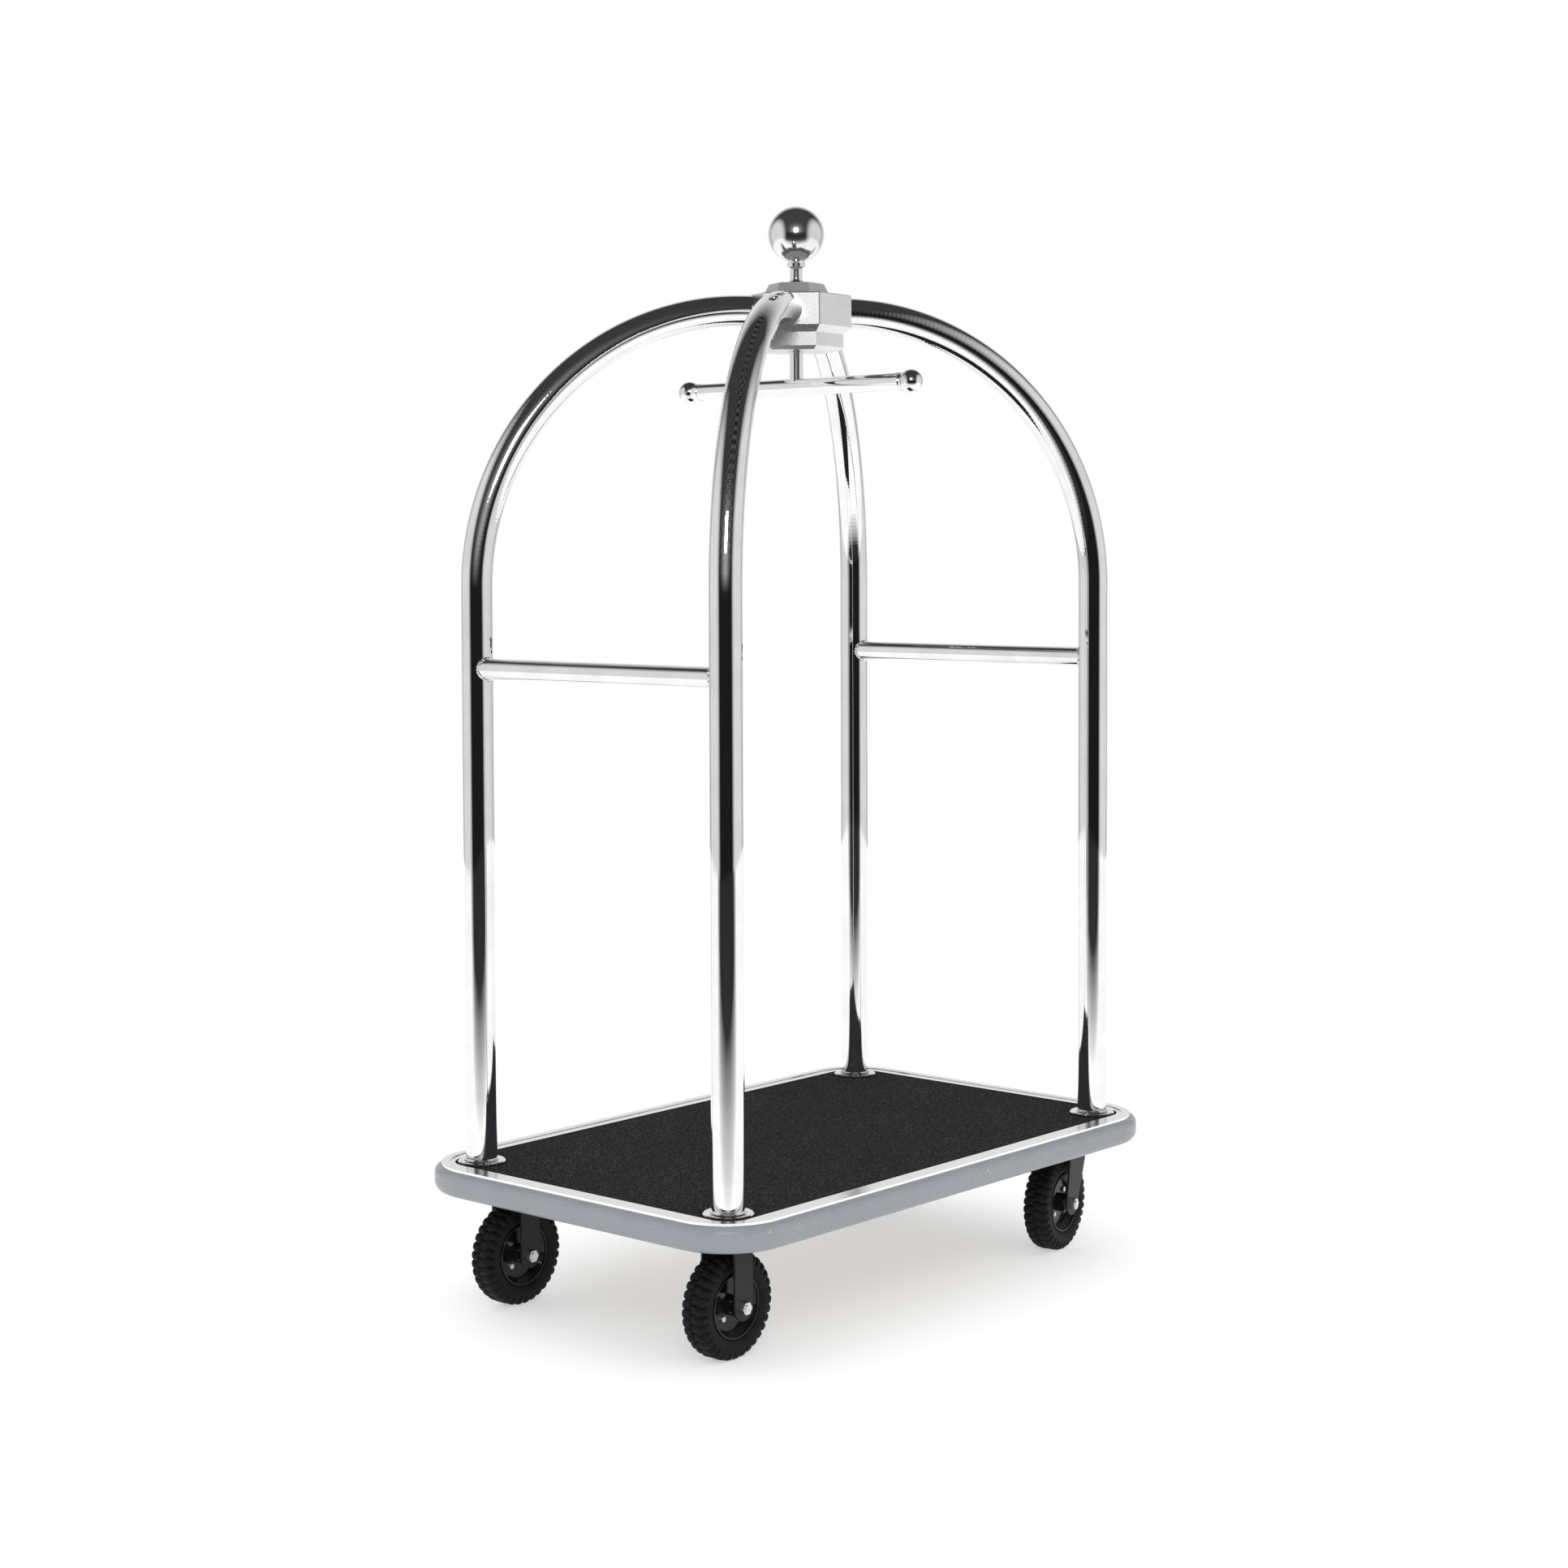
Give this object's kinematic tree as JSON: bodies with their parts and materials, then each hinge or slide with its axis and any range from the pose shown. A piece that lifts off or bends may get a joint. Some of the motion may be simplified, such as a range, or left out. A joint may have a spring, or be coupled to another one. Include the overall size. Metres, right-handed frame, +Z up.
{
  "type": "hotel luggage cart",
  "caption": "Birdcage hotel luggage cart: carpeted deck with grey bumper, arched chrome tubes meeting in a hexagonal hub with ball finial, garment bar, black lugged casters.",
  "frame": {"origin": "on the floor under the middle of the deck", "axes": "+X along the deck towards the swivel casters, +Y to the left of that direction, +Z up"},
  "size_m": [1.128, 0.716, 1.8003],
  "materials": {
    "chrome": "bright polished chrome plate on steel tube",
    "hub_metal": "cast aluminium, polished",
    "finial_metal": "spun aluminium ball, mirror polished",
    "trim": "polished aluminium edge channel",
    "carpet": "charcoal short loop pile carpet",
    "bumper": "grey vinyl bumper, satin, lightly scuffed",
    "plywood": "bare birch plywood",
    "frame_paint": "black powder coat",
    "caster_black": "black powder coat, pressed steel",
    "wheel_black": "gloss black paint, pressed steel rim",
    "tyre": "black rubber, matt",
    "zinc": "bright zinc plate",
    "bronze": "sintered bronze"
  },
  "bodies": {
    "frame": {"bumper": "bumper", "carpet": "carpet", "caster_bolts": "zinc", "deck_board": "plywood", "deck_screws": "zinc", "edge_trim": "trim", "finial_ball": "finial_metal", "finial_neck": "chrome", "front_cross_member": "frame_paint", "front_crossbar": "chrome", "front_left_king_pin": "zinc", "front_left_race_balls": "zinc", "front_left_swivel_plate": "caster_black", "front_left_tube": "chrome", "front_right_king_pin": "zinc", "front_right_race_balls": "zinc", "front_right_swivel_plate": "caster_black", "front_right_tube": "chrome", "hanger_bush": "chrome", "hub_block": "hub_metal", "hub_cap": "hub_metal", "hub_lower": "hub_metal", "hub_screws": "zinc", "hub_stud": "zinc", "left_rail": "frame_paint", "post_flanges": "chrome", "post_set_screws": "zinc", "post_spigots": "frame_paint", "rear_cross_member": "frame_paint", "rear_crossbar": "chrome", "rear_left_axle": "zinc", "rear_left_bracket": "caster_black", "rear_left_tube": "chrome", "rear_right_axle": "zinc", "rear_right_bracket": "caster_black", "rear_right_tube": "chrome", "right_rail": "frame_paint", "spigot_screws": "zinc", "stud_nut": "zinc"},
    "hanger": {"hanger_rod": "chrome", "rod_collar": "zinc", "hanger_bar": "chrome", "left_hanger_ball": "chrome", "right_hanger_ball": "chrome"},
    "front_left_swivel": {"front_left_fork": "caster_black", "front_left_axle": "zinc"},
    "front_right_swivel": {"front_right_fork": "caster_black", "front_right_axle": "zinc"},
    "rear_left_wheel": {"rear_left_rim": "wheel_black", "rear_left_tyre": "tyre", "rear_left_wheel_bush": "bronze"},
    "rear_right_wheel": {"rear_right_rim": "wheel_black", "rear_right_tyre": "tyre", "rear_right_wheel_bush": "bronze"},
    "front_left_wheel": {"front_left_rim": "wheel_black", "front_left_tyre": "tyre", "front_left_wheel_bush": "bronze"},
    "front_right_wheel": {"front_right_rim": "wheel_black", "front_right_tyre": "tyre", "front_right_wheel_bush": "bronze"}
  },
  "joints": [
    {"name": "hanger_swivel", "type": "hinge", "parent": "frame", "child": "hanger", "pos_m": [0, 0, 1.5], "axis": [0, 0, 1], "range_deg": [-90, 90]},
    {"name": "front_left_caster_swivel", "type": "hinge", "parent": "frame", "child": "front_left_swivel", "pos_m": [0.439, 0.233, 0.19], "axis": [0, 0, 1], "continuous": true},
    {"name": "front_right_caster_swivel", "type": "hinge", "parent": "frame", "child": "front_right_swivel", "pos_m": [0.439, -0.233, 0.19], "axis": [0, 0, 1], "continuous": true},
    {"name": "rear_left_wheel_spin", "type": "hinge", "parent": "frame", "child": "rear_left_wheel", "pos_m": [-0.439, 0.233, 0.0834], "axis": [0, 1, 0], "continuous": true},
    {"name": "rear_right_wheel_spin", "type": "hinge", "parent": "frame", "child": "rear_right_wheel", "pos_m": [-0.439, -0.233, 0.0834], "axis": [0, 1, 0], "continuous": true},
    {"name": "front_left_wheel_spin", "type": "hinge", "parent": "front_left_swivel", "child": "front_left_wheel", "pos_m": [0.41135, 0.22862, 0.0834], "axis": [-0.1564, 0.9877, 0], "continuous": true},
    {"name": "front_right_wheel_spin", "type": "hinge", "parent": "front_right_swivel", "child": "front_right_wheel", "pos_m": [0.41135, -0.23738, 0.0834], "axis": [-0.1564, 0.9877, 0], "continuous": true}
  ]
}
